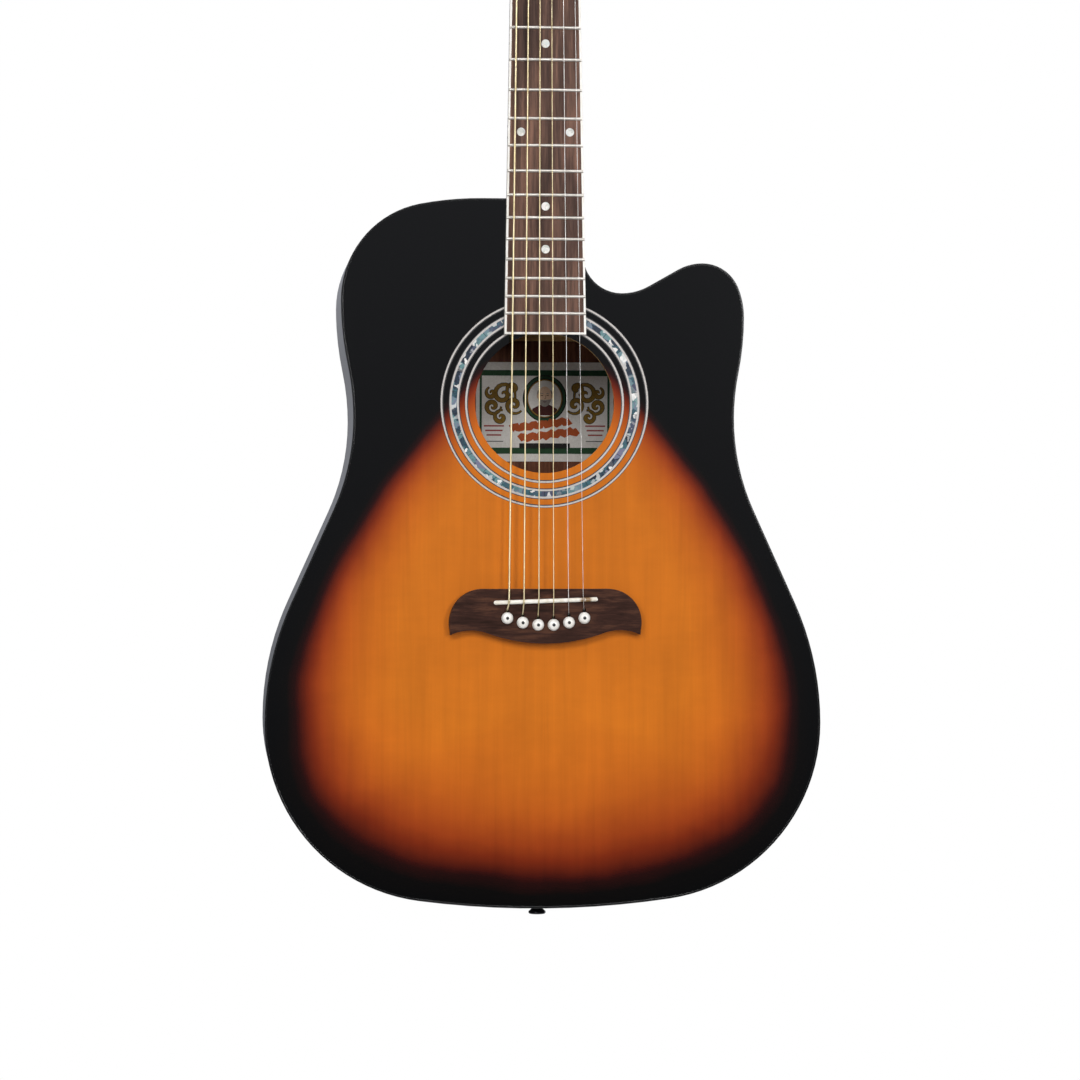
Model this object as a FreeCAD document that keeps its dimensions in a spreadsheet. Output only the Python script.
import FreeCAD, Part
import math
import os

import Sketcher
from FreeCAD import Placement, Rotation, Vector

# Acoustic guitar with a cutaway, hung by its neck: +Z runs up the neck, the soundboard faces -Y,
# +X is the treble (cutaway) side. The origin is on the centreline at the nut, in the plane of the
# soundboard's outer face, which is also the plane the fretboard is glued to. Millimetres.

doc = FreeCAD.newDocument("acoustic_guitar")
dims = doc.addObject("Spreadsheet::Sheet", "Dims")

SIZES = (
    # body outline: half widths across; heights are above the tail, drops below the neck joint
    ("body_length", 508.0), ("lower_half", 199.8), ("lower_height", 132.0), ("lower_corner", 127.0),
    ("flank_out", 210.0), ("flank_in", 160.0), ("waist_half", 136.8), ("waist_drop", 157.0),
    ("upper_half", 145.6), ("upper_drop", 73.0), ("upper_in", 180.0), ("upper_corner", 70.0),
    ("shoulder_start", 45.0), ("cut_wall", 27.5), ("cut_radius", 27.8), ("cut_floor_drop", 67.3),
    ("cut_rise_in", 40.0), ("horn_rise_out", 36.0), ("horn_top_x", 114.0), ("horn_top_drop", 45.4),
    ("horn_round", 28.0), ("horn_half", 144.1), ("horn_drop", 84.0), ("horn_in", 165.0),
    # body shell
    ("depth_neck", 100.0), ("depth_tail", 120.0), ("top_thick", 2.8), ("back_thick", 2.8),
    ("side_thick", 2.2), ("binding_wide", 1.6), ("binding_deep", 5.5),
    ("lining_wide", 6.0), ("lining_deep", 14.0),
    ("neck_block_length", 70.0), ("neck_block_wide", 84.0), ("tail_block_wide", 60.0),
    ("tail_block_length", 18.0),
    # sound hole below the end of the fretboard, and the rings about it outward from its edge
    ("hole_radius", 50.0), ("hole_drop", 49.0), ("inlay_deep", 1.0), ("line_wide", 2.3),
    ("line_narrow", 2.0), ("line_1_out", 5.05), ("line_2_out", 11.0), ("line_3_out", 16.9),
    ("line_4_out", 22.7),
    # bracing: drops and rises from the sound hole's centre, finger bars from the saddle
    ("brace_wide", 8.0), ("brace_deep", 14.0), ("brace_cross_drop", 81.6), ("brace_angle", 47.0),
    ("brace_long", 540.0), ("small_brace_wide", 6.0), ("small_brace_deep", 9.0),
    ("transverse_wide", 12.0), ("transverse_deep", 16.0), ("transverse_gap", 12.4),
    ("hole_bar_gap", 10.0), ("hole_bar_rise", 15.4), ("hole_bar_long", 78.0),
    ("tone_bar_turn", 66.0), ("tone_bar_x", 20.0), ("tone_bar_long", 206.0),
    ("finger_turn", 62.0), ("finger_long", 84.0), ("finger_upper_x", 140.0), ("finger_lower_x", 150.0),
    ("finger_upper_rise", 41.8), ("finger_lower_rise", -8.2),
    ("plate_thick", 2.5), ("plate_long", 88.0), ("plate_wide", 44.0), ("plate_drop", 10.2),
    ("back_brace_deep", 12.0), ("strip_wide", 20.0), ("strip_thick", 2.5), ("strip_gap", 2.0),
    ("back_bar_upper", 92.0), ("back_bar_waist", 212.0), ("back_bar_lower", 188.0),
    ("back_bar_tail", 84.0),
    ("label_wide", 103.0), ("label_tall", 74.0), ("label_thick", 0.3), ("label_drop", 2.3),
    ("label_offset", 10.0),
    # strings
    ("scale_length", 647.7), ("nut_spacing", 7.2), ("saddle_spacing", 10.64),
    ("nut_action", 7.6), ("saddle_action", 11.1), ("crown_radius", 400.0), ("compensation", 1.3),
    # bridge: rises above and drops below the saddle
    ("bridge_thick", 8.0), ("bridge_rise", 8.6), ("bridge_drop", 30.4), ("bridge_shoulder", 24.0),
    ("bridge_shoulder_x", 44.9), ("valley_x", 53.5), ("valley_drop", 20.9),
    ("valley_radius", 34.0), ("tip_x", 68.2),
    ("saddle_long", 74.5), ("saddle_thick", 3.0), ("saddle_slant", 1.85),
    ("saddle_sunk", 5.0), ("pin_spacing", 11.05), ("pin_row_drop", 17.2), ("pin_row_sag", 0.0066),
    ("pin_radius", 2.5), ("pin_fit", 0.05), ("pin_head_radius", 4.2), ("pin_head_high", 3.4),
    ("pin_long", 20.0), ("slot_reach", 6.7), ("slot_wide", 2.2), ("string_lead", 5.5),
    ("ball_radius", 2.0), ("ball_long", 3.5),
    # neck
    ("body_join", 361.2), ("nut_long", 5.5), ("board_end", 458.6), ("board_thick", 6.0),
    ("board_half_nut", 21.5), ("board_half_end", 29.3), ("board_binding", 1.5),
    ("neck_depth_nut", 15.0), ("neck_depth_heel", 17.5), ("neck_inset", 0.5),
    ("tenon_wide", 22.0), ("tenon_long", 18.0), ("tenon_deep", 75.0), ("heel_cap_thick", 3.0),
    ("fret_wide", 2.2), ("fret_high", 1.1), ("tang_wide", 0.6), ("tang_deep", 1.8),
    ("marker_radius", 3.0), ("marker_deep", 1.5), ("marker_pair", 17.5),
    ("rod_wide", 6.0), ("rod_deep", 10.0), ("rod_end", 352.0), ("rod_nut_radius", 4.0),
    ("rod_nut_long", 12.0), ("rod_socket", 2.2), ("rod_axis_deep", 7.0), ("rod_stud_radius", 1.6),
    # headstock
    ("head_angle", 14.0), ("head_long", 172.0), ("head_half_low", 34.0), ("head_half_high", 37.5),
    ("head_flare", 32.0), ("head_thick", 13.5), ("veneer_thick", 1.5), ("pocket_wide", 13.0),
    ("pocket_long", 36.0), ("cover_long", 46.0), ("cover_half_low", 11.5), ("cover_half_high", 7.0),
    ("cover_thick", 2.0), ("cover_screw_radius", 0.9), ("cover_screw_head", 1.9),
    ("cover_screw_bite", 7.0), ("cover_screw_low", 4.0), ("cover_screw_high", 42.0),
    ("cover_screw_x", 9.2),
    # tuners
    ("tuner_first", 46.0), ("tuner_pitch", 43.0), ("tuner_x", 24.0), ("post_radius", 3.0),
    ("post_high", 17.0), ("post_hole_high", 12.2), ("bushing_radius", 5.0), ("bushing_rim", 6.8),
    ("bushing_high", 3.2), ("bushing_flange", 1.2), ("running_gap", 0.05), ("housing_wide", 18.0),
    ("housing_long", 20.0), ("housing_deep", 10.0), ("housing_wall", 1.3), ("housing_room", 1.2),
    ("ear_reach", 6.0), ("ear_tall", 7.0), ("screw_inward", 12.0), ("gear_radius", 5.0),
    ("gear_thick", 3.4), ("gear_teeth", 14.0), ("tooth_deep", 0.9), ("worm_radius", 2.2),
    ("mesh_gap", 0.2), ("worm_depth", 18.6), ("shaft_reach", 42.0), ("sleeve_radius", 3.6),
    ("sleeve_long", 7.0), ("collar_long", 3.5), ("collar_lead", 2.0), ("knob_long", 17.0),
    ("knob_half_wide", 10.5), ("knob_thick", 6.5), ("tuner_screw_radius", 1.1),
    ("tuner_screw_long", 9.0),
    # strap button
    ("button_radius", 6.25), ("button_waist", 4.0), ("button_high", 10.0), ("button_depth", 58.0),
    ("button_screw_radius", 1.9), ("button_screw_long", 24.0),
)
for row, (alias, value) in enumerate(SIZES, start=1):
    dims.set(f"A{row}", alias.replace("_", " "))
    dims.set(f"B{row}", str(value))
    dims.setAlias(f"B{row}", alias)
doc.recompute()

STRING_RADII = (0.67, 0.53, 0.41, 0.31, 0.21, 0.16)  # low E to high E
X_AXIS, Y_AXIS, Z_AXIS = Vector(1, 0, 0), Vector(0, 1, 0), Vector(0, 0, 1)
FRET_COUNT = 20
SINGLE_DOTS, DOUBLE_DOT = (3, 5, 7, 9, 15, 17), 12
WIDE = 700.0  # longer than the body, for blocks that only trim

nodes = []


def size(alias):
    """The number held in one named cell of the sheet."""
    return float(getattr(dims, alias))


# heights in this frame of the neck joint, the tail, the sound hole's centre and the saddle
JOIN = -size("body_join")
TAIL = JOIN - size("body_length")
HOLE = -(size("board_end") + size("hole_drop"))
SADDLE = -(size("scale_length") + size("compensation"))


def height(from_tail):
    """Turn a height above the tail into a height in this frame."""
    return TAIL + from_tail


# ------------------------------------------------------------------ helpers for document objects


def expression(text):
    """Put the sheet's name before every alias used in an expression."""
    words = "".join(c if c.isalnum() or c == "_" else " " for c in text).split()
    for word in sorted(set(words), key=len, reverse=True):
        if word[0].isalpha():
            text = " ".join(f"Dims.{part}" if part == word else part for part in text.split(" "))
    return text


def new(kind, name, **bound):
    """Add an object and bind the given properties to the sheet."""
    obj = doc.addObject(kind, name)
    for prop, text in bound.items():
        obj.setExpression(prop, expression(text))
    return obj


def place(obj, corner, frame=Placement(), turn=Rotation()):
    """Set an object's Placement inside a frame."""
    obj.Placement = frame.multiply(Placement(Vector(*corner), turn))
    return obj


def box(name, length, width, tall, corner, frame=Placement(), turn=Rotation()):
    """A block whose three edges are expressions of the sheet."""
    obj = new("Part::Box", name, Length=length, Width=width, Height=tall)
    return place(obj, corner, frame, turn)


def rod(name, radius, long, start, direction, frame=Placement()):
    """A round bar from a start point along a direction."""
    obj = new("Part::Cylinder", name, Radius=radius, Height=long)
    return place(obj, start, frame, Rotation(Z_AXIS, Vector(*direction)))


def shape(name, solid, frame=Placement()):
    """A piece or profile made in code from sizes read off the sheet."""
    obj = doc.addObject("Part::Feature", name)
    obj.Shape = solid
    obj.Placement = frame
    return obj


def pull(name, face, along, long):
    """A flat profile pulled along a direction by an expression of the sheet."""
    obj = new("Part::Extrusion", name, LengthFwd=long)
    obj.Base = shape(f"{name}_profile", face)
    obj.DirMode, obj.Dir, obj.Solid = "Custom", Vector(*along), True
    return obj


def cut(name, base, *tools):
    """The base less every tool."""
    obj = doc.addObject("Part::Cut", name)
    obj.Base = base
    obj.Tool = tools[0] if len(tools) == 1 else fuse(f"{name}_tools", *tools)
    return obj


def fuse(name, *parts, refine=True):
    """Several objects made one; cords keep their seams, so theirs are not refined."""
    obj = doc.addObject("Part::MultiFuse", name)
    obj.Shapes, obj.Refine = list(parts), refine
    return obj


def shared(name, *parts):
    """What several objects have in common."""
    obj = doc.addObject("Part::MultiCommon", name)
    obj.Shapes = list(parts)
    return obj


def group(name, *parts):
    """Separate pieces kept as one node."""
    obj = doc.addObject("Part::Compound", name)
    obj.Links = list(parts)
    return obj


def piece(obj, label):
    """Register an object as a finished node."""
    obj.Label = label
    nodes.append(obj)
    return obj


def sketch_on(body, plane_role, name, corners):
    """A closed straight-sided sketch in a body, every corner bound to the sheet."""
    plane = next(f for f in body.Origin.OriginFeatures if f.Role == plane_role)
    sketch = body.newObject("Sketcher::SketchObject", name)
    sketch.AttachmentSupport = [(plane, "")]
    sketch.MapMode = "FlatFace"
    points = [Vector(doc_value(u), doc_value(v), 0) for u, v in corners]
    for start, end in zip(points, points[1:] + points[:1]):
        sketch.addGeometry(Part.LineSegment(start, end))
    for line in range(len(points)):
        sketch.addConstraint(Sketcher.Constraint("Coincident", line - 1 if line else len(points) - 1,
                                                 2, line, 1))
    for line, (point, (u, v)) in enumerate(zip(points, corners)):
        for kind, value, text, axis in (("DistanceX", point.x, u, -2), ("DistanceY", point.y, v, -1)):
            if abs(value) < 1e-9:
                sketch.addConstraint(Sketcher.Constraint("PointOnObject", line, 1, axis))
            else:
                index = sketch.addConstraint(Sketcher.Constraint(kind, -1, 1, line, 1, value))
                sketch.setExpression(f"Constraints[{index}]", expression(text))
    return sketch


def doc_value(text):
    """Work out an expression of the sheet."""
    result = dims.evalExpression(expression(text))
    return float(getattr(result, "Value", result))


def turned(name, corners, frame=Placement()):
    """A body turned about its own Z axis from a half section (radius, height)."""
    body = doc.addObject("PartDesign::Body", name)
    section = sketch_on(body, "XZ_Plane", f"{name}_section", corners)
    turn = body.newObject("PartDesign::Revolution", f"{name}_turn")
    turn.Profile = section
    turn.ReferenceAxis = (section, ["V_Axis"])
    turn.Angle = 360.0
    body.Tip = turn
    body.Placement = frame
    return body


def padded(name, corners, thick, frame=Placement()):
    """A body of even thickness from a straight-sided outline in its own XZ plane."""
    body = doc.addObject("PartDesign::Body", name)
    pad = body.newObject("PartDesign::Pad", f"{name}_pad")
    pad.Profile = sketch_on(body, "XZ_Plane", f"{name}_outline", corners)
    pad.setExpression("Length", expression(thick))
    body.Tip = pad
    body.Placement = frame
    return body


# ------------------------------------------------------------------ curves


def arc(centre, radius, start, end):
    """An arc in the XZ plane by centre (x, z), radius and two angles in degrees."""
    def at(angle):
        turn = math.radians(angle)
        return Vector(centre[0] + radius * math.cos(turn), 0, centre[1] + radius * math.sin(turn))
    return at(start), at((start + end) / 2), at(end)


def chain(arcs):
    """Close a run of arcs and points into a face, with straight lines between them."""
    edges = []
    ends = [(a[0], a[-1]) for a in arcs]
    for step, run in enumerate(arcs):
        if len(run) == 3:
            edges.append(Part.Arc(*run).toShape())
        here, there = ends[step][1], ends[(step + 1) % len(arcs)][0]
        if here.distanceToPoint(there) > 1e-4:
            edges.append(Part.makeLine(here, there))
    return Part.Face(Part.Wire(Part.__sortEdges__(edges)))


def s_angle(radii, across, along):
    """Slope of the straight run between two opposite tangent arcs whose radii add up to radii."""
    return math.degrees(math.atan2(along, radii - across)
                        - math.acos(radii / math.hypot(radii - across, along)))


def body_outline(inset):
    """The body's outline set in from its edge, as a face in the XZ plane."""
    top = size("body_length")
    low, low_h, corner = size("lower_half"), size("lower_height"), size("lower_corner")
    waist, waist_h = size("waist_half"), top - size("waist_drop")
    out, inward = size("flank_out"), size("flank_in")
    widest = ((low - waist) ** 2 + (waist_h - low_h) ** 2) / (2 * (low - waist))
    if out + inward > widest:  # the flank's two curves are limited by the room between them
        out, inward = out * widest / (out + inward), inward * widest / (out + inward)
    tail_radius = ((low - corner) ** 2 + low_h ** 2 - corner ** 2) / (2 * (low_h - corner))
    tail_turn = math.degrees(math.atan2(low_h - tail_radius, low - corner))
    flank = s_angle(out + inward, low - waist, waist_h - low_h)

    def bulge(x, h, radius, start, end):
        """An outward curve about a centre at a height above the tail."""
        return arc((x, height(h)), radius - inset, start, end)

    def hollow(x, h, radius, start, end):
        """An inward curve about a centre outside the body."""
        return arc((x, height(h)), radius + inset, start, end)

    def swell(half, half_h, radius_in):
        """Radius and turn of the bout that leaves a waist curve and ends upright."""
        drop, rise = half - waist, half_h - waist_h
        radii = (drop ** 2 + rise ** 2) / (2 * drop)
        return radii - radius_in, math.degrees(math.asin(rise / radii))

    horn, horn_h, horn_in = size("horn_half"), top - size("horn_drop"), size("horn_in")
    horn_out, horn_turn = swell(horn, horn_h, horn_in)
    top_x, top_h, tip = size("horn_top_x"), top - size("horn_top_drop"), size("horn_round")
    across, up = horn - top_x, top_h - horn_h
    side = (across ** 2 + up ** 2 - 2 * up * tip) / (2 * (across - tip))
    tip_turn = math.degrees(math.atan2(up - tip, side - across))
    rise_in, rise_out, floor = size("cut_rise_in"), size("horn_rise_out"), top - size("cut_floor_drop")
    cut_radius, wall = size("cut_radius"), size("cut_wall")
    floor_x = wall + cut_radius
    rise = s_angle(rise_in + rise_out, top_h - floor, top_x - floor_x)
    treble = [
        bulge(low - corner, low_h, corner, tail_turn, 0), bulge(low - out, low_h, out, 0, flank),
        hollow(waist + inward, waist_h, inward, 180 + flank, 180),
        hollow(waist + horn_in, waist_h, horn_in, 180, 180 - horn_turn),
        bulge(horn - horn_out, horn_h, horn_out, -horn_turn, 0),
        bulge(horn - side, horn_h, side, 0, tip_turn), bulge(top_x, top_h - tip, tip, tip_turn, 90),
        bulge(top_x, top_h - rise_out, rise_out, 90, 90 + rise),
        hollow(floor_x, floor + rise_in, rise_in, 270 + rise, 270),
        hollow(floor_x, floor + cut_radius, cut_radius, 270, 180),
        (Vector(wall - inset, 0, height(top) - inset),) * 2,
    ]
    upper, upper_h, upper_in = size("upper_half"), top - size("upper_drop"), size("upper_in")
    upper_out, upper_turn = swell(upper, upper_h, upper_in)
    shoulder, start = size("upper_corner"), size("shoulder_start")
    reach, drop = upper - shoulder - start, top - upper_h
    sweep = (reach ** 2 + drop ** 2 - shoulder ** 2) / (2 * (drop - shoulder))
    turn = math.degrees(math.atan2(upper_h - top + sweep, -reach))
    bass = [
        bulge(-start, top - sweep, sweep, 90, turn),
        bulge(shoulder - upper, upper_h, shoulder, turn, 180),
        bulge(upper_out - upper, upper_h, upper_out, 180, 180 + upper_turn),
        hollow(-waist - upper_in, waist_h, upper_in, upper_turn, 0),
        hollow(-waist - inward, waist_h, inward, 0, -flank),
        bulge(out - low, low_h, out, 180 - flank, 180),
        bulge(corner - low, low_h, corner, 180, 180 - tail_turn),
    ]
    tail = [bulge(0, tail_radius, tail_radius, 180 - tail_turn, 270),
            bulge(0, tail_radius, tail_radius, 270, 360 + tail_turn)]
    return chain(treble + bass + tail)


def ring(name, start, end):
    """A flat ring let into the soundboard between two distances from the sound hole's edge."""
    centre = Vector(0, 0, HOLE)
    faces = [Part.Face(Part.Wire(Part.makeCircle(size("hole_radius") + out, centre, Y_AXIS)))
             for out in (end, start)]
    return pull(name, faces[0].cut(faces[1]), (0, 1, 0), "inlay_deep")


# ------------------------------------------------------------------ body shell

BACK_TILT = math.degrees(math.atan2(size("depth_tail") - size("depth_neck"), size("body_length")))
back_frame = Placement(Vector(0, size("depth_neck"), height(size("body_length"))),
                       Rotation(X_AXIS, BACK_TILT))


def back_slab(name, thick, below, length=WIDE, x=None, z=-WIDE + 60, tall=WIDE):
    """A slab parallel to the back, its outer face set in from the back's outer face."""
    obj = new("Part::Box", name, Width=thick)
    obj.Length, obj.Height = length, tall
    inner = doc_value(thick) + doc_value(below)
    return place(obj, (-length / 2 if x is None else x, -inner, z), back_frame)


def body_block(name, inset, start="0", deep="depth_tail + 20"):
    """The body's outline pulled from front to back, set in from the edge."""
    block = pull(name, body_outline(doc_value(inset)), (0, 1, 0), deep)
    block.Placement.Base.y = doc_value(start)
    return block


def outline_ring(name, outer, inner, start="0", deep="depth_tail + 20"):
    """A band that follows the outline between two insets."""
    return cut(name, body_block(f"{name}_outer", outer, start, deep),
               body_block(f"{name}_inner", inner, start, deep))


tenon_slot = box("tenon_slot", "tenon_wide", "tenon_deep - top_thick", "tenon_long",
                 (-size("tenon_wide") / 2, size("top_thick"), JOIN - size("tenon_long")))
top_binding = piece(cut("binding_top", outline_ring("top_band", "0", "binding_wide", "0",
                                                    "binding_deep"), tenon_slot), "binding_top")
back_binding = piece(shared("binding_back", outline_ring("back_band", "0", "binding_wide"),
                            back_slab("back_band_slab", "binding_deep", "0")), "binding_back")
lines = [ring(f"line_{number}", size(f"line_{number}_out"), size(f"line_{number}_out") + size(wide))
         for number, wide in ((1, "line_wide"), (2, "line_narrow"), (3, "line_narrow"), (4, "line_wide"))]
piece(group("rosette_lines", *lines), "rosette_lines")
shell_ring = piece(ring("rosette_shell", size("line_2_out") + size("line_narrow"), size("line_3_out")),
                   "rosette_shell")

# strings and bridge pins share their positions across the bridge
STRING_INDEX = [i - 2.5 for i in range(6)]


def string_x(index, spacing):
    """Distance of a string from the centreline."""
    return index * size(spacing)


def pin_place(index):
    """Centre of a bridge pin: across, and height in this frame."""
    across = index * size("pin_spacing")
    return across, SADDLE - size("pin_row_drop") + size("pin_row_sag") * across ** 2


def pin_openings(prefix, start, deep):
    """Round holes for the pins and the slots that let the strings past them."""
    tools = []
    for number, index in enumerate(STRING_INDEX, start=1):
        x, z = pin_place(index)
        tools.append(rod(f"{prefix}_hole_{number}", "pin_radius + pin_fit", deep, (x, start, z),
                         (0, 1, 0)))
        tools.append(box(f"{prefix}_slot_{number}", "slot_wide", deep, "slot_reach",
                         (x - size("slot_wide") / 2, start, z)))
    return fuse(f"{prefix}_openings", *tools)


sound_hole = rod("sound_hole", "hole_radius", "top_thick * 3",
                 (0, -size("top_thick"), HOLE), (0, 1, 0))
top_plate = body_block("top_plate", "binding_wide", "0", "top_thick")
piece(cut("soundboard", top_plate, sound_hole, *lines, shell_ring,
          pin_openings("top_pin", -1.0, "top_thick * 3")), "soundboard")
piece(shared("back_plate", body_block("back_blank", "binding_wide"),
             back_slab("back_slab", "back_thick", "0")), "back_plate")

inside = shared("inside", body_block("inside_block", "side_thick", "top_thick"),
                back_slab("inside_slab", "depth_tail + 20", "back_thick"))
side_band = shared("side_band", outline_ring("side_ring", "0", "side_thick", "top_thick"),
                   back_slab("side_slab", "depth_tail + 20", "back_thick"))
button_hole = rod("button_hole", "button_screw_radius", "button_screw_long + button_high",
                  (0, size("button_depth"), TAIL - size("button_high")), (0, 0, 1))
for label, start in (("side_bass", -WIDE), ("side_treble", 0.0)):
    half = place(new("Part::Box", f"{label}_half"), (start, -50, -WIDE * 1.5))
    half.Length, half.Width, half.Height = WIDE, WIDE, WIDE * 1.5
    piece(cut(label, shared(f"{label}_band", side_band, half), top_binding, back_binding,
              tenon_slot, button_hole), label)

neck_block_box = box("neck_block_box", "neck_block_wide", "depth_tail", "neck_block_length",
                     (-size("neck_block_wide") / 2, 0, JOIN - size("neck_block_length")))
tail_block_box = box("tail_block_box", "tail_block_wide", "depth_tail + 5", "tail_block_length",
                     (-size("tail_block_wide") / 2, 0, TAIL))
piece(cut("neck_block", shared("neck_block_blank", inside, neck_block_box), tenon_slot), "neck_block")
piece(cut("tail_block", shared("tail_block_blank", inside, tail_block_box), button_hole), "tail_block")

lining_band = cut("lining_band", cut("lining_ring", inside,
                                     body_block("lining_inner", "side_thick + lining_wide")),
                  neck_block_box, tail_block_box)
lining_front = body_block("lining_front", "0", "top_thick", "lining_deep")
piece(shared("lining_top", lining_band, lining_front), "lining_top")
piece(shared("lining_back", lining_band, back_slab("lining_slab", "lining_deep", "back_thick")),
      "lining_back")

# ------------------------------------------------------------------ bracing

open_core = body_block("open_core", "side_thick + lining_wide", "top_thick", "brace_deep * 2")


def bar(name, wide, deep, long, x, z, angle=0.0):
    """A straight brace under the soundboard, leaning by an angle from the centreline."""
    frame = Placement(Vector(x, size("top_thick"), z), Rotation(Y_AXIS, angle))
    return box(name, wide, deep, long, (-doc_value(wide) / 2, 0, -doc_value(long) / 2), frame)


lean = size("brace_angle")
CROSSING = HOLE - size("brace_cross_drop")
cross = [shared(f"cross_{side}", open_core,
                bar(f"cross_bar_{side}", "brace_wide", "brace_deep", "brace_long", 0, CROSSING, angle))
         for side, angle in (("a", lean), ("b", -lean))]
LAP = 3  # half the lap block's width, in brace widths
lap_front, lap_back = [
    box(name, f"brace_wide * {2 * LAP}", "brace_deep / 2", f"brace_wide * {2 * LAP}",
        (-size("brace_wide") * LAP, size("top_thick") + start, CROSSING - size("brace_wide") * LAP))
    for name, start in (("lap_front", 0.0), ("lap_back", size("brace_deep") / 2))]
x_braces = piece(group("x_braces", cut("cross_lower", cross[0], shared("lap_a", cross[1], lap_back)),
                       cut("cross_upper", cross[1], shared("lap_b", cross[0], lap_front))),
                 "x_braces")
bridge_plate = box("bridge_plate_blank", "plate_long", "plate_thick", "plate_wide",
                   (-size("plate_long") / 2, size("top_thick"),
                    SADDLE - size("plate_drop") - size("plate_wide") / 2))
piece(cut("bridge_plate", bridge_plate, x_braces, pin_openings("plate_pin", 0.0, "top_thick * 3")),
      "bridge_plate")
small = ("small_brace_wide", "small_brace_deep")
bars = [bar("transverse_bar", "transverse_wide", "transverse_deep", "lower_half * 2", 0,
            HOLE + size("hole_radius") + size("transverse_gap"), 90)]
# the tone bars share out the room between the bridge plate and the tail
plate_edge = SADDLE - size("plate_drop") - size("plate_wide") / 2
for name, share in (("upper", 0.8), ("lower", 0.49)):
    bars.append(bar(f"tone_bar_{name}", "brace_wide", "small_brace_deep", "tone_bar_long",
                    -size("tone_bar_x"), TAIL + share * (plate_edge - TAIL), size("tone_bar_turn")))
for name, side in (("bass", -1), ("treble", 1)):
    bars.append(bar(f"hole_bar_{name}", *small, "hole_bar_long",
                    side * (size("hole_radius") + size("hole_bar_gap")), HOLE + size("hole_bar_rise")))
    for row in ("upper", "lower"):
        bars.append(bar(f"finger_{name}_{row}", *small, "finger_long", side * size(f"finger_{row}_x"),
                        SADDLE + size(f"finger_{row}_rise"), side * size("finger_turn")))
piece(cut("top_braces", shared("top_bars", open_core, group("bar_set", *bars)), cross[0], cross[1],
          bridge_plate), "top_braces")

back_core = body_block("back_core", "side_thick + lining_wide")
# distances of the back's bars below the neck joint
BACK_BARS = (size("back_bar_upper"), size("back_bar_waist"), size("body_length") - size("back_bar_lower"),
             size("body_length") - size("back_bar_tail"))
STRIP_SPANS = (1, 2)  # the seam strips lie between these bars and the next; the label fills the first
slope = math.cos(math.radians(BACK_TILT))
bar_half = size("brace_wide") / 2
back_bars = [back_slab(f"back_bar_{number}", "back_brace_deep", "back_thick", z=-drop / slope - bar_half,
                       tall=size("brace_wide")) for number, drop in enumerate(BACK_BARS, start=1)]
strips = []
for span in STRIP_SPANS:
    start, end = BACK_BARS[span] / slope + bar_half, BACK_BARS[span + 1] / slope - bar_half
    strips.append(back_slab(f"strip_{span}", "strip_thick", "back_thick", size("strip_wide"),
                            z=-end + size("strip_gap"), tall=end - start - 2 * size("strip_gap")))
piece(group("back_braces", shared("back_bar_set", back_core, group("back_bar_group", *back_bars)),
            *strips), "back_braces")
label_foot = JOIN - HOLE + size("label_drop") + size("label_tall") / 2
piece(back_slab("label", "label_thick", "back_thick", size("label_wide"),
                size("label_offset") - size("label_wide") / 2, -label_foot, size("label_tall")), "label")

# ------------------------------------------------------------------ bridge, saddle and pins


def bridge_face():
    """The bridge's outline: straight upper edge, round shoulders, two hollows and a belly below."""
    shoulder, shoulder_x = size("bridge_shoulder"), size("bridge_shoulder_x")
    top, low = SADDLE + size("bridge_rise"), SADDLE - size("bridge_drop")
    valley_x, valley_radius = size("valley_x"), size("valley_radius")
    valley_centre = SADDLE - size("valley_drop") - valley_radius
    above = low - valley_centre
    belly = (valley_x ** 2 + above ** 2 - valley_radius ** 2) / (2 * (valley_radius - above))
    belly_turn = math.degrees(math.asin(valley_x / (belly + valley_radius)))
    tip_turn = -math.degrees(math.acos((size("tip_x") - shoulder_x) / shoulder))
    valley_end = math.degrees(math.acos((size("tip_x") - valley_x) / valley_radius))
    return chain([
        arc((shoulder_x, top - shoulder), shoulder, 90, tip_turn),
        arc((valley_x, valley_centre), valley_radius, valley_end, 90 + belly_turn),
        arc((0, low + belly), belly, 270 + belly_turn, 270 - belly_turn),
        arc((-valley_x, valley_centre), valley_radius, 90 - belly_turn, 180 - valley_end),
        arc((-shoulder_x, top - shoulder), shoulder, 180 - tip_turn, 90),
    ])


saddle_frame = Placement(Vector(0, 0, SADDLE), Rotation(Y_AXIS, -size("saddle_slant")))


def crowned(name, section, axis_deep, sweep_angle, frame=Placement()):
    """A section in the YZ plane swept across the fretboard's crown radius."""
    axis = Vector(0, axis_deep, 0)
    swept = section.copy()
    swept.rotate(axis, Z_AXIS, -sweep_angle / 2)
    return shape(name, swept.revolve(axis, Z_AXIS, sweep_angle), frame)


def round_top(top, half, bottom):
    """A face in the YZ plane with a round top edge and a square foot."""
    start, mid, end = (Vector(0, top + half, -half), Vector(0, top, 0), Vector(0, top + half, half))
    foot = [Vector(0, bottom, half), Vector(0, bottom, -half)]
    edges = [Part.Arc(start, mid, end).toShape(), Part.makeLine(end, foot[0]),
             Part.makeLine(*foot), Part.makeLine(foot[1], start)]
    return Part.Face(Part.Wire(edges))


saddle_half = size("saddle_thick") / 2
saddle_foot = -size("bridge_thick") + size("saddle_sunk")
saddle_crown = crowned("saddle_crown", round_top(-size("saddle_action"), saddle_half, 2.0),
                       size("crown_radius") - size("saddle_action"), 16.0, saddle_frame)


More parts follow.
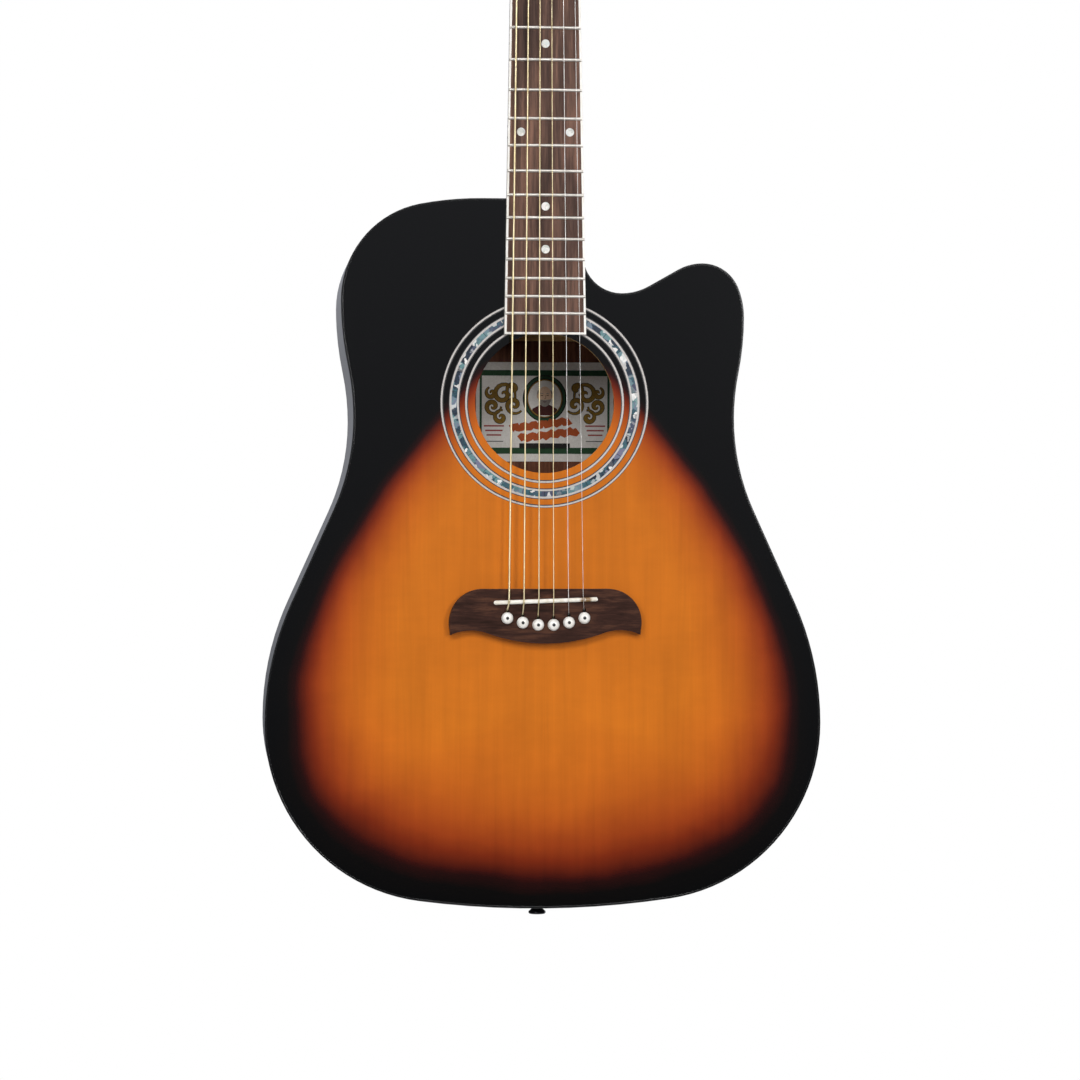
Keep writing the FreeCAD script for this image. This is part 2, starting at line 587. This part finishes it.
def saddle_plan(name, start, deep):
    """The saddle's straight plan with round ends."""
    reach = size("saddle_long") / 2 - saddle_half
    blocks = [box(f"{name}_middle", "saddle_long - saddle_thick", deep, "saddle_thick",
                  (-reach, start, -saddle_half), saddle_frame)]
    blocks += [rod(f"{name}_end_{side}", "saddle_thick / 2", deep, (side * reach, start, 0), (0, 1, 0),
                   saddle_frame) for side in (-1, 1)]
    return fuse(name, *blocks)


SLOT_REACH = 12.0  # the saddle slot's block, well past the saddle's top
saddle_slot = saddle_plan("saddle_slot", saddle_foot - SLOT_REACH, str(SLOT_REACH))
piece(shared("saddle", saddle_crown, saddle_slot), "saddle")
bridge_blank = pull("bridge_blank", bridge_face(), (0, -1, 0), "bridge_thick")
piece(cut("bridge", bridge_blank, saddle_slot,
          pin_openings("bridge_pin", -size("bridge_thick") - 1, "bridge_thick + 2")), "bridge")

pin_turn = Rotation(Z_AXIS, Vector(0, -1, 0))
for number, index in enumerate(STRING_INDEX, start=1):
    x, z = pin_place(index)
    seat = Placement(Vector(x, -size("bridge_thick") - size("running_gap"), z), pin_turn)
    piece(turned(f"bridge_pin_{number}", (
        ("0", "-1 * pin_long"), ("pin_radius * 0.6", "-1 * pin_long"), ("pin_radius", "-1 * pin_long + 2"),
        ("pin_radius", "0"), ("pin_head_radius", "0"), ("pin_head_radius", "pin_head_high * 0.45"),
        ("pin_head_radius * 0.86", "pin_head_high * 0.78"),
        ("pin_head_radius * 0.55", "pin_head_high * 0.95"), ("0", "pin_head_high")), seat),
        f"bridge_pin_{number}")

# ------------------------------------------------------------------ strap button

button_frame = Placement(Vector(0, size("button_depth"), TAIL), Rotation(Z_AXIS, Vector(0, 0, -1)))
button = turned("strap_button_blank", (
    ("button_screw_radius", "0"), ("button_radius", "0"), ("button_radius", "1.2"),
    ("button_waist", "button_high * 0.3"), ("button_waist", "button_high * 0.62"),
    ("button_radius", "button_high * 0.82"), ("button_radius", "button_high - 0.6"),
    ("button_radius - 0.6", "button_high"), ("button_screw_radius * 2", "button_high"),
    ("button_screw_radius", "button_high - 2.4")), button_frame)
piece(button, "strap_button")
piece(turned("strap_button_screw", (
    ("0", "-1 * button_screw_long + 3"), ("button_screw_radius", "-1 * button_screw_long + 6"),
    ("button_screw_radius", "button_high - 2.4"), ("button_screw_radius * 2", "button_high"),
    ("0", "button_high")), button_frame), "strap_button_screw")

# ------------------------------------------------------------------ neck

head_frame = Placement(Vector(0, 0, size("nut_long")), Rotation(X_AXIS, -size("head_angle")))
board_slope = (size("board_half_end") - size("board_half_nut")) / size("board_end")


def board_half(below_nut):
    """Half the fretboard's width at a distance below the nut."""
    return size("board_half_nut") + board_slope * below_nut


def half_round(name, half, deep, frame):
    """A neck section: flat front, round back."""
    left, back, right = Vector(-half, 0, 0), Vector(0, deep, 0), Vector(half, 0, 0)
    wire = Part.Wire([Part.makeLine(left, right), Part.Arc(right, back, left).toShape()])
    return shape(name, wire, frame)


def loft(name, ruled, *sections):
    """A solid through a row of sections."""
    obj = doc.addObject("Part::Loft", name)
    obj.Sections = list(sections)
    obj.Solid, obj.Ruled = True, ruled
    return obj


inset = size("neck_inset")
shaft = loft("shaft", True,
             half_round("shaft_low", board_half(size("body_join")) - inset, size("neck_depth_heel"),
                        Placement(Vector(0, 0, JOIN), Rotation())),
             half_round("shaft_high", board_half(0) - inset, size("neck_depth_nut"),
                        Placement(Vector(0, 0, 0), Rotation())))
throat = loft("throat", True,
              half_round("throat_low", board_half(0) - inset, size("neck_depth_nut"), Placement()),
              half_round("throat_high", board_half(0) + 6.0, size("head_thick"),
                         head_frame.multiply(Placement(Vector(0, 0, size("head_flare")), Rotation()))))


def heel_section(half, forward, deep):
    """The heel's plan at one depth: square at the body, round toward the headstock."""
    base = [Vector(half, deep, JOIN), Vector(-half, deep, JOIN)]
    shoulder = [Vector(-half, deep, JOIN + forward - half), Vector(half, deep, JOIN + forward - half)]
    nose = Vector(0, deep, JOIN + forward)
    edges = [Part.makeLine(*base), Part.makeLine(base[1], shoulder[0]),
             Part.Arc(shoulder[0], nose, shoulder[1]).toShape(), Part.makeLine(shoulder[1], base[0])]
    return Part.Wire(edges)


heel_foot = size("depth_neck") - size("heel_cap_thick")
# half width, reach up the neck and depth below the soundboard of each section of the heel
HEEL = ((27.1, 46.0, 0.0), (26.2, 42.0, 10.0), (24.4, 36.0, 24.0), (21.0, 29.0, 46.0),
        (17.6, 23.5, 74.0), (15.5, 20.0, heel_foot))
heel = loft("heel", False, *[shape(f"heel_section_{n}", heel_section(*at)) for n, at in enumerate(HEEL)])
piece(pull("heel_cap", Part.Face(heel_section(*HEEL[-1])), (0, 1, 0), "heel_cap_thick"), "heel_cap")


def head_face():
    """The headstock's outline in its own XZ plane."""
    low, high, flare, long = (size("head_half_low"), size("head_half_high"), size("head_flare"),
                              size("head_long"))
    start = board_half(0) - inset
    right = [Vector(start, 0, -3), Vector(start + 1.2, 0, 8), Vector(low - 4, 0, flare - 9),
             Vector(low, 0, flare), Vector(high, 0, long - 12)]
    edges = [Part.makeLine(right[0], right[1])]
    edges.append(Part.Arc(right[1], Vector(start + 5.6, 0, flare - 14.5), right[3]).toShape())
    edges.append(Part.makeLine(right[3], right[4]))
    edges.append(Part.Arc(right[4], Vector(high * 0.62, 0, long - 2.5), Vector(0, 0, long)).toShape())
    left = [edge.mirror(Vector(), X_AXIS) for edge in edges]
    foot = Part.makeLine(Vector(-start, 0, -3), Vector(start, 0, -3))
    return Part.Face(Part.Wire(Part.__sortEdges__(edges + left + [foot])))


head_plate = pull("head_plate", head_face(), (0, 1, 0), "head_thick")
head_plate.Placement = head_frame
scoop_face = Part.Face(Part.makePolygon([Vector(0, 2.5, -6), Vector(0, size("head_thick"), 27),
                                         Vector(0, 40, 27), Vector(0, 40, -6), Vector(0, 2.5, -6)]))
scoop = pull("scoop", scoop_face, (1, 0, 0), "head_half_high * 2")
scoop.Placement = head_frame.multiply(Placement(Vector(-size("head_half_high"), 0, 0), Rotation()))
front_trim = box("front_trim", "head_half_high * 2", "20", "head_long",
                 (-size("head_half_high"), -20, -3), head_frame)

rod_slot = box("rod_slot", "rod_wide", "rod_deep", "rod_end + nut_long",
               (-size("rod_wide") / 2, 0, -size("rod_end")))
pocket = box("rod_pocket", "pocket_wide", "rod_axis_deep + rod_nut_radius + 11.5", "pocket_long",
             (-size("pocket_wide") / 2, -10, size("nut_long")))

TUNERS = [(side, row) for side in (-1, 1) for row in ((0, 1, 2) if side < 0 else (2, 1, 0))]


def post_place(side, row):
    """Centre of a tuner post on the headstock: across and up, in the headstock's frame."""
    return side * size("tuner_x"), size("tuner_first") + row * size("tuner_pitch")


post_holes = [rod(f"post_hole_{n}", "bushing_radius", "head_thick + veneer_thick + 4",
                  (*post_place(*spot)[:1], -size("veneer_thick") - 2, post_place(*spot)[1]), (0, 1, 0),
                  head_frame) for n, spot in enumerate(TUNERS, start=1)]
screws, screw_cores = [], []
for number, (side, row) in enumerate(TUNERS, start=1):
    x, z = post_place(side, row)
    x -= side * size("screw_inward")
    back = size("head_thick")
    core = rod(f"screw_core_{number}", "tuner_screw_radius", "tuner_screw_long",
               (x, back - size("tuner_screw_long") + size("housing_wall"), z), (0, 1, 0), head_frame)
    cap = rod(f"screw_cap_{number}", "tuner_screw_radius * 2", "housing_wall",
              (x, back + size("housing_wall"), z), (0, 1, 0), head_frame)
    screw_cores.append(core)
    screws.append(fuse(f"tuner_screw_{number}", core, cap))
piece(group("tuner_screws", *screws), "tuner_screws")

cover_back = -size("veneer_thick")
cover_front = cover_back - size("cover_thick")
cover_screw_cores, cover_screws = [], []
for name, x in (("low", size("cover_screw_x")), ("high", 0.0)):
    z = size(f"cover_screw_{name}")
    core = rod(f"cover_core_{name}", "cover_screw_radius", "cover_thick + cover_screw_bite",
               (x, cover_front, z), (0, 1, 0), head_frame)
    cap = rod(f"cover_cap_{name}", "cover_screw_head", "cover_screw_radius",
              (x, cover_front - size("cover_screw_radius"), z), (0, 1, 0), head_frame)
    cover_screw_cores.append(core)
    cover_screws.append(fuse(f"cover_screw_{name}", core, cap))
piece(group("truss_cover_screws", *cover_screws), "truss_cover_screws")

nut_seat = box("nut_seat", "head_half_high * 2", "20", "nut_long", (-size("head_half_high"), -20, 0))
tenon = box("tenon", "tenon_wide", "tenon_deep - top_thick", "tenon_long",
            (-size("tenon_wide") / 2, size("top_thick"), JOIN - size("tenon_long")))
neck_blank = fuse("neck_blank", shaft, throat, heel, tenon, cut("head_shaped", head_plate, scoop))
piece(cut("neck", neck_blank, front_trim, nut_seat, rod_slot, pocket, *post_holes, *screw_cores,
          *cover_screw_cores), "neck")
veneer_blank = pull("veneer_blank", head_face(), (0, -1, 0), "veneer_thick")
veneer_blank.Placement = head_frame
nut_clear = box("nut_clear", "head_half_high * 2", "20", "10",
                (-size("head_half_high"), -15, size("nut_long") - 10))
piece(cut("headstock_veneer", veneer_blank, nut_clear, pocket, *post_holes, *cover_screw_cores),
      "headstock_veneer")
cover = padded("truss_cover_blank", (
    ("-1 * cover_half_low", "1"), ("cover_half_low", "1"), ("cover_half_low", "cover_long * 0.35"),
    ("cover_half_high", "cover_long * 0.7"), ("2", "cover_long"), ("-2", "cover_long"),
    ("-1 * cover_half_high", "cover_long * 0.7"), ("-1 * cover_half_low", "cover_long * 0.35")),
    "cover_thick", head_frame.multiply(Placement(Vector(0, cover_back, 0), Rotation())))
piece(cut("truss_rod_cover", cover, *cover_screw_cores), "truss_rod_cover")

truss = box("truss_bar", "rod_wide", "rod_deep", "rod_end + nut_long - 1",
            (-size("rod_wide") / 2, 0, -size("rod_end")))
stud = rod("truss_stud", "rod_stud_radius", "8", (0, size("rod_axis_deep"), size("nut_long") - 1), (0, 0, 1))
piece(fuse("truss_rod", truss, stud), "truss_rod")
nut_start = (0, size("rod_axis_deep"), size("nut_long") + 1.0)
hexagon = Part.makePolygon([Vector(size("rod_socket") * math.cos(math.radians(60 * k)),
                                   size("rod_socket") * math.sin(math.radians(60 * k)), 0)
                            for k in range(7)])
socket = pull("rod_socket_cut", Part.Face(hexagon), (0, 0, 1), "rod_nut_long / 2")
socket.Placement.Base = Vector(0, size("rod_axis_deep"), nut_start[2] + size("rod_nut_long") / 2)
stud_bore = rod("rod_nut_bore", "rod_stud_radius + running_gap", "8",
                (0, size("rod_axis_deep"), size("nut_long") - 0.5), (0, 0, 1))
piece(cut("truss_rod_nut", rod("rod_nut_body", "rod_nut_radius", "rod_nut_long", nut_start, (0, 0, 1)),
          socket, stud_bore), "truss_rod_nut")

# ------------------------------------------------------------------ fretboard


def board_face(edge, start, end):
    """The tapered plan of the fretboard set in from its edges."""
    corners = [Vector(side * (board_half(below) - edge), 0, -below)
               for side, below in ((-1, start), (1, start), (1, end), (-1, end))]
    return Part.Face(Part.makePolygon(corners + corners[:1]))


def board_prism(name, edge, end):
    """The fretboard's plan pulled well past its thickness both ways."""
    prism = pull(name, board_face(edge, 0.0, end), (0, -1, 0), "board_thick * 2")
    prism.Placement.Base.y = size("board_thick") / 2
    return prism


crown_axis = size("crown_radius") - size("board_thick")
crown = rod("board_crown", "crown_radius", "board_end + 1", (0, crown_axis, -size("board_end") - 0.5),
            (0, 0, 1))
board_slab = box("board_slab", "board_half_end * 2 + 10", "board_thick + 1", "board_end",
                 (-size("board_half_end") - 5, -size("board_thick") - 1, -size("board_end")))
outer_prism = board_prism("board_outer", 0.0, size("board_end"))
wood_prism = board_prism("board_wood", size("board_binding"), size("board_end") - size("board_binding"))
board_blank = shared("board_blank", outer_prism, board_slab, crown)


def fret_distance(number):
    """Distance of a fret from the nut in equal temperament."""
    return size("scale_length") * (1 - 2 ** (-number / 12))


def fret_face(below, half, top, foot):
    """A fret's crown or tang in section, in the YZ plane."""
    surface = -size("board_thick")
    if top:
        start, mid, end = (Vector(0, surface, -below - half), Vector(0, surface - top, -below),
                           Vector(0, surface, -below + half))
        return Part.Face(Part.Wire([Part.Arc(start, mid, end).toShape(), Part.makeLine(end, start)]))
    corners = [Vector(0, surface, -below - half), Vector(0, surface, -below + half),
               Vector(0, surface + foot, -below + half), Vector(0, surface + foot, -below - half)]
    return Part.Face(Part.makePolygon(corners + corners[:1]))


fret_span = 2 * math.degrees(math.asin((size("board_half_end") + 2) / size("crown_radius")))
crowns, tangs = [], []
for number in range(1, FRET_COUNT + 1):
    below = fret_distance(number)
    crowns.append(crowned(f"fret_crown_{number}", fret_face(below, size("fret_wide") / 2,
                                                           size("fret_high"), 0), crown_axis, fret_span))
    tangs.append(crowned(f"fret_tang_{number}", fret_face(below, size("tang_wide") / 2, 0,
                                                         size("tang_deep")), crown_axis, fret_span))
tang_prism = board_prism("tang_prism", size("board_binding"), size("board_end") - 0.1)
crown_prism = board_prism("crown_prism", 0.25, size("board_end") - 0.1)
frets = []
for number, (top, foot) in enumerate(zip(crowns, tangs), start=1):
    frets.append(fuse(f"fret_{number}", shared(f"fret_top_{number}", top, crown_prism),
                      shared(f"fret_foot_{number}", foot, tang_prism)))
piece(group("frets", *frets), "frets")


def marker(number, x):
    """One round inlay midway between two frets."""
    below = (fret_distance(number) + fret_distance(number - 1)) / 2
    name = f"marker_{number}_{'c' if x == 0 else 'l' if x < 0 else 'r'}"
    return rod(name, "marker_radius", "marker_deep + 1", (x, -size("board_thick") - 1, -below),
               (0, 1, 0))


dots = [marker(number, 0) for number in SINGLE_DOTS]
dots += [marker(DOUBLE_DOT, side * size("marker_pair")) for side in (-1, 1)]
markers = piece(group("fret_markers", *[shared(f"{dot.Name}_flush", dot, crown) for dot in dots]),
                "fret_markers")
piece(cut("fretboard", shared("board_core", board_blank, wood_prism), markers, *tangs), "fretboard")
piece(cut("fretboard_binding", board_blank, wood_prism), "fretboard_binding")

# ------------------------------------------------------------------ tuners


def gear_face(radius, teeth):
    """A gear wheel's outline in the XZ plane with plain straight-sided teeth."""
    points, root = [], radius - size("tooth_deep")
    pitch = 360.0 / teeth
    for tooth in range(int(teeth)):
        for share, reach in ((0.0, root), (0.3, root), (0.45, radius), (0.7, radius), (0.85, root)):
            turn = math.radians((tooth + share) * pitch)
            points.append(Vector(reach * math.cos(turn), 0, reach * math.sin(turn)))
    return Part.Face(Part.makePolygon(points + points[:1]))


back = size("head_thick")
gear_start = size("worm_depth") - size("gear_thick") / 2
worm_drop = size("gear_radius") + size("mesh_gap") + size("worm_radius")
housings, bushings = [], []
for number, (side, row) in enumerate(TUNERS, start=1):
    x, z = post_place(side, row)
    at = head_frame.multiply(Placement(Vector(x, 0, z), Rotation()))
    wall, ear_reach, ear_tall = size("housing_wall"), size("ear_reach"), size("ear_tall")
    half_wide = size("housing_wide") / 2
    low = -worm_drop - size("worm_radius") - wall - size("housing_room")
    shell = box(f"housing_shell_{number}", "housing_wide", "housing_deep", "housing_long",
                (-half_wide, back, low), at)
    room = box(f"housing_room_{number}", "housing_wide - 2 * housing_wall", "housing_deep - housing_wall",
               "housing_long - 2 * housing_wall", (-half_wide + wall, back, low + wall), at)
    ear = box(f"housing_ear_{number}", "housing_wide / 2 + ear_reach", "housing_wall", "ear_tall",
              (0 if side < 0 else -half_wide - ear_reach, back, -ear_tall / 2), at)
    sleeve_start = side * (half_wide - wall / 2)
    sleeve = rod(f"housing_sleeve_{number}", "sleeve_radius", "sleeve_long",
                 (sleeve_start, size("worm_depth"), -worm_drop), (side, 0, 0), at)
    bore = rod(f"housing_bore_{number}", "worm_radius + running_gap", "12",
               (side * (half_wide - 3), size("worm_depth"), -worm_drop), (side, 0, 0), at)
    housings.append(cut(f"housing_{number}", fuse(f"housing_outer_{number}", shell, ear, sleeve), room,
                        bore, screw_cores[number - 1]))
    tube = rod(f"bushing_tube_{number}", "bushing_radius", "head_thick + veneer_thick",
               (0, -size("veneer_thick"), 0), (0, 1, 0), at)
    rim = rod(f"bushing_rim_{number}", "bushing_rim", "bushing_flange",
              (0, -size("veneer_thick") - size("bushing_flange"), 0), (0, 1, 0), at)
    neck_ring = rod(f"bushing_collar_{number}", "bushing_radius", "bushing_high",
                 (0, -size("veneer_thick") - size("bushing_high"), 0), (0, 1, 0), at)
    hollow = rod(f"bushing_bore_{number}", "post_radius + running_gap", "head_thick + 12",
                 (0, -size("veneer_thick") - size("bushing_high") - 1, 0), (0, 1, 0), at)
    bushings.append(cut(f"bushing_{number}", fuse(f"bushing_outer_{number}", tube, rim, neck_ring), hollow))

    face_top = -size("veneer_thick")
    post_top = face_top - size("post_high")
    body = rod(f"post_body_{number}", "post_radius",
               "post_high + veneer_thick + worm_depth + gear_thick / 2", (0, post_top, 0), (0, 1, 0), at)
    gear = pull(f"post_gear_{number}", gear_face(size("gear_radius"), size("gear_teeth")), (0, 1, 0),
                "gear_thick")
    gear.Placement = at.multiply(Placement(Vector(0, gear_start, 0), Rotation()))
    stub = rod(f"post_stub_{number}", str(STRING_RADII[number - 1]), "post_radius * 2 + 4",
               (0, face_top - size("post_hole_high"), -size("post_radius") - 1.5), (0, 0, 1), at)
    piece(fuse(f"tuner_post_{number}", body, gear, stub), f"tuner_post_{number}")

    axle_in = -side * (half_wide - wall - 0.6)
    shaft_long = f"{size('shaft_reach') - size('tuner_x') + abs(axle_in)}"
    axle = rod(f"knob_shaft_{number}", "worm_radius", shaft_long,
               (axle_in, size("worm_depth"), -worm_drop), (side, 0, 0), at)
    knob_x = side * (size("shaft_reach") - size("tuner_x"))
    oval = Part.Ellipse(Vector(0, 0, size("knob_half_wide")), Vector(size("knob_long") / 2, 0, 0), Vector())
    grip = pull(f"knob_grip_{number}", Part.Face(Part.Wire(oval.toShape())), (0, 1, 0), "knob_thick")
    grip.Placement = at.multiply(Placement(
        Vector(knob_x + side * size("knob_long") / 2, size("worm_depth") - size("knob_thick") / 2,
               -worm_drop), Rotation()))
    collar = rod(f"knob_collar_{number}", "sleeve_radius", "collar_long",
                 (knob_x - side * size("collar_lead"), size("worm_depth"), -worm_drop), (side, 0, 0), at)
    piece(fuse(f"tuner_knob_{number}", axle, collar, grip), f"tuner_knob_{number}")
piece(group("tuner_housings", *housings), "tuner_housings")
piece(group("tuner_bushings", *bushings), "tuner_bushings")

# ------------------------------------------------------------------ strings and nut


def route(points, radii):
    """A wire of straight runs with a tangent arc at each inner point."""
    edges, start = [], points[0]
    for before, corner, after, radius in zip(points, points[1:], points[2:], radii):
        to_start, to_end = (before - corner).normalize(), (after - corner).normalize()
        half = to_start.getAngle(to_end) / 2
        reach = radius / math.tan(half)
        first, last = corner + to_start * reach, corner + to_end * reach
        middle_dir = (to_start + to_end).normalize()
        centre = corner + middle_dir * (radius / math.sin(half))
        middle = centre - middle_dir * radius
        edges += [Part.makeLine(start, first), Part.Arc(first, middle, last).toShape()]
        start = last
    edges.append(Part.makeLine(start, points[-1]))
    return Part.Wire(edges)


def round_cord(path, radius):
    """A round cord swept along a wire."""
    start = path.Edges[0]
    circle = Part.makeCircle(radius, start.valueAt(start.FirstParameter),
                             start.tangentAt(start.FirstParameter))
    return path.makePipe(Part.Face(Part.Wire(circle)))


WRAP_GAP = 0.3  # between a post and the turns of string about it


def string_points(number):
    """Corners of one string's run from ball end to tuner post."""
    index, radius = STRING_INDEX[number - 1], STRING_RADII[number - 1]
    pin_x, pin_z = pin_place(index)
    saddle_x, nut_x = string_x(index, "saddle_spacing"), string_x(index, "nut_spacing")
    lead_z = pin_z + size("string_lead")
    lift = radius + 0.03
    saddle_y = -size("saddle_action") + saddle_x ** 2 / (2 * size("crown_radius")) - lift - 0.28
    saddle_z = SADDLE + saddle_x * math.tan(math.radians(size("saddle_slant")))
    nut_y = -size("nut_action") + nut_x ** 2 / (2 * size("crown_radius")) - lift
    side, row = TUNERS[number - 1]
    post_x, post_z = post_place(side, row)
    wrap = size("post_radius") + WRAP_GAP + 0.9 * radius
    level = -size("veneer_thick") - size("bushing_high") - 0.8 - radius
    arrive = head_frame.multVec(Vector(post_x - side * wrap, level + 0.1 * radius, post_z))
    return [Vector(pin_x, size("top_thick") + size("plate_thick") + 1.0, lead_z),
            Vector(pin_x, -size("bridge_thick") + 0.6, lead_z), Vector(saddle_x, saddle_y, saddle_z),
            Vector(nut_x, nut_y, size("nut_long") * 0.45), arrive]


def string_path(number):
    """The smooth run of one string."""
    radius = STRING_RADII[number - 1]
    return route(string_points(number), (1.0 + radius, 2.4 + radius, 12.0))


COILS = 3


def coil_face(centre_radius, radius, level):
    """Half section of a coil of close turns about the Y axis, its inner side drawn straight."""
    inner, waist, half = centre_radius - 0.31 * radius, centre_radius + 0.31 * radius, 0.95 * radius
    pitch, edges = 2 * half, []
    for coil in range(COILS):
        start = Vector(waist if coil else inner, level + half - coil * pitch, 0)
        end = Vector(waist if coil < COILS - 1 else inner, level - half - coil * pitch, 0)
        crest = Vector(centre_radius + radius, level - coil * pitch, 0)
        edges.append(Part.Arc(start, crest, end).toShape())
    edges.append(Part.makeLine(Vector(inner, level - half - (COILS - 1) * pitch, 0),
                               Vector(inner, level + half, 0)))
    return Part.Face(Part.Wire(edges))


for number in range(1, 7):
    radius = STRING_RADII[number - 1]
    points = string_points(number)
    cord = shape(f"string_run_{number}", round_cord(string_path(number), radius))
    end = place(new("Part::Cylinder", f"string_ball_{number}", Radius="ball_radius", Height="ball_long"),
                (points[0].x - size("ball_long") / 2, points[0].y + size("ball_radius") - 0.9, points[0].z),
                turn=Rotation(Z_AXIS, X_AXIS))
    side, row = TUNERS[number - 1]
    post_x, post_z = post_place(side, row)
    level = -size("veneer_thick") - size("bushing_high") - 0.8 - radius
    section = coil_face(size("post_radius") + WRAP_GAP + radius, radius, level)
    coil = shape(f"string_coil_{number}", section.revolve(Vector(), Y_AXIS, 360),
                 head_frame.multiply(Placement(Vector(post_x, 0, post_z), Rotation())))
    piece(fuse(f"string_{number}", cord, end, coil, refine=False), f"string_{number}")

nut_top = size("nut_action") + 0.9
nut_crown = rod("nut_crown", "crown_radius", "nut_long", (0, size("crown_radius") - nut_top, 0), (0, 0, 1))
nut_blank = box("nut_blank", "board_half_nut * 2", f"{nut_top}", "nut_long",
                (-size("board_half_nut"), -nut_top, 0))
nut_cuts = []
for number in range(1, 7):
    before, corner, after = string_points(number)[2:]
    for step, (slack, direction) in enumerate(((0.05, corner - before), (0.08, after - corner))):
        half = STRING_RADII[number - 1] + slack
        seat = Placement(corner, Rotation(Z_AXIS, direction))
        nut_cuts.append(box(f"nut_notch_{number}_{step}", f"{2 * half}", "6", "nut_long * 3",
                            (-half, half - 6, (step - 1) * size("nut_long") * 3), seat))
piece(cut("nut", shared("nut_shaped", nut_blank, nut_crown), *nut_cuts), "nut")

doc.recompute()

# ------------------------------------------------------------------ checks and export

for obj in doc.Objects:
    if "Invalid" in obj.State or "Error" in obj.State:
        raise RuntimeError(f"{obj.Name} did not build: {obj.State}")
os.makedirs("parts", exist_ok=True)
for node in nodes:
    if node.Shape.isNull() or not node.Shape.isValid() or not node.Shape.Solids:
        raise RuntimeError(f"{node.Label} has no sound shape")
    node.Shape.exportStep(f"parts/{node.Label}.step")
